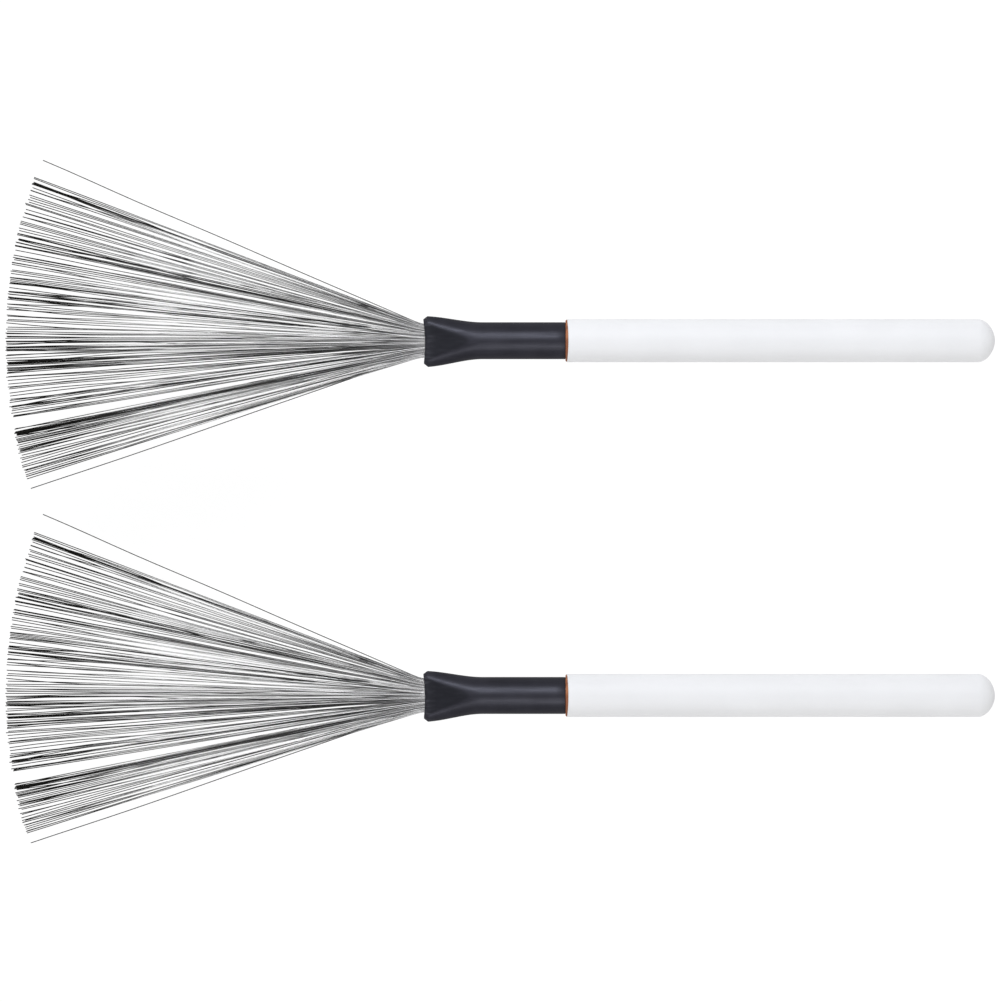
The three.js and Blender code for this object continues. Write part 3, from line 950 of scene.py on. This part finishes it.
# The floor's corners from its middle outwards, as (radius, height) in metres.
FLOOR_PROFILE = (
    (0.8, 0.0),
    (1.8, 0.0),
    (2.9, 0.0),
    (3.2, 0.05),
    (3.45, 0.2),
    (3.6, 0.5),
    (3.65, 1.1),
)
SKY_FROM, SKY_TO = (0.05, 0.26), (0.9, 0.42)  # (upward part of a direction, strength)
SKY_COLOUR = (0.96, 0.98, 1.0)
CAMERA_DISTANCE = 2.4  # far enough to see the brushes almost without slant
CAMERA_ASIDE = 0.35 * MM
WIDTH_IN_VIEW = 0.3347


def area_light(name, direction, distance, size, power, colour):
    """A square soft light that looks at the middle of the pair from a direction."""
    light = bpy.data.lights.new(name, "AREA")
    light.shape = "SQUARE"
    light.size = size
    light.energy = power
    light.color = colour
    lamp = bpy.data.objects.new(name, light)
    lamp.location = Vector(direction).normalized() * distance
    lamp.rotation_euler = (-lamp.location).to_track_quat("-Z", "Y").to_euler()
    bpy.context.collection.objects.link(lamp)


def studio_floor():
    """A round pale floor that curves up far from the brushes, as a studio's backdrop does."""
    angles = [2 * math.pi * i / FLOOR_SIDES for i in range(FLOOR_SIDES)]
    corners = [
        (radius * math.cos(angle), radius * math.sin(angle), z)
        for radius, z in FLOOR_PROFILE
        for angle in angles
    ]
    faces = [tuple(range(FLOOR_SIDES))]
    for ring in range(len(FLOOR_PROFILE) - 1):
        faces += bridge(ring * FLOOR_SIDES, (ring + 1) * FLOOR_SIDES, FLOOR_SIDES)
    floor = new_object("studio_floor", corners, faces)
    floor.location.z = -FLOOR_DROP
    look = Look("pale_floor")
    look.set(Roughness=0.9, Specular_IOR_Level=0.1, Emission_Strength=0.94)
    look.set(Base_Color=(0.1, 0.1, 0.1, 1), Emission_Color=(1, 1, 1, 1))
    floor.data.materials.append(look.material)
    floor.visible_glossy = False  # the black sleeves keep their dark edges


def studio_light():
    """An even sky that is a little brighter overhead, and two soft lamps."""
    world = bpy.data.worlds.new("studio_world")
    world.use_nodes = True
    nodes, links = world.node_tree.nodes, world.node_tree.links
    direction = nodes.new("ShaderNodeTexCoord")
    split = nodes.new("ShaderNodeSeparateXYZ")
    sky = nodes.new("ShaderNodeMapRange")
    sky.inputs["From Min"].default_value, sky.inputs["To Min"].default_value = SKY_FROM
    sky.inputs["From Max"].default_value, sky.inputs["To Max"].default_value = SKY_TO
    links.new(direction.outputs["Generated"], split.inputs["Vector"])
    links.new(split.outputs["Z"], sky.inputs["Value"])
    links.new(sky.outputs["Result"], nodes["Background"].inputs["Strength"])
    nodes["Background"].inputs["Color"].default_value = (*SKY_COLOUR, 1)
    bpy.context.scene.world = world
    area_light("key_light", (-0.1, 0.56, 0.83), 1.4, 0.75, 11.0, (0.945, 0.96, 1.0))
    area_light("fill_light", (0.1, -0.60, 0.80), 1.5, 0.9, 6.8, (1.0, 0.99, 0.98))
    bpy.context.scene.view_settings.view_transform = "Standard"


def camera_above(brushes):
    """A camera straight above the middle of the pair."""
    camera = bpy.data.cameras.new("camera")
    camera.sensor_width = 36
    camera.lens = camera.sensor_width * CAMERA_DISTANCE / WIDTH_IN_VIEW
    thing = bpy.data.objects.new("camera", camera)
    thing.location = (0, CAMERA_ASIDE, brushes[0].axis_z + CAMERA_DISTANCE)
    bpy.context.collection.objects.link(thing)
    bpy.context.scene.camera = thing


# ------------------------------------------------------------------ the scene


def build_brush(brush, hidden_materials, seed):
    rng = random.Random(seed)
    handle_jacket(brush, white_lacquer(brush))
    handle_core(brush, turned_wood(brush))
    ferrule_sleeve(brush, black_sleeve(brush))
    tube_metal = drawn_metal(
        f"tube_metal_{brush.letter}", dark=(0.5, 0.5, 0.52), light=(0.7, 0.7, 0.72), rough=0.3
    )
    mouth_tube(brush, tube_metal)
    steel = spring_wire(brush)
    wires = plan_wires(brush, rng)
    wire_bundle(brush, wires, steel)
    wire_fan(brush, wires, steel)
    dress_hidden_nodes(brush, hidden_materials)


brushes = [Brush(letter) for letter in BRUSHES]
camera_above(brushes)
studio_light()
studio_floor()
hidden = {
    "anchor_pin": drawn_metal("pin_steel", (0.42, 0.42, 0.43), (0.6, 0.6, 0.61), 0.25),
    "crimp_collar": drawn_metal("crimp_brass", (0.55, 0.38, 0.14), (0.75, 0.56, 0.24), 0.3),
    "glue_plug": amber_glue(),
}
for brush in brushes:
    build_brush(brush, hidden, seed=7)
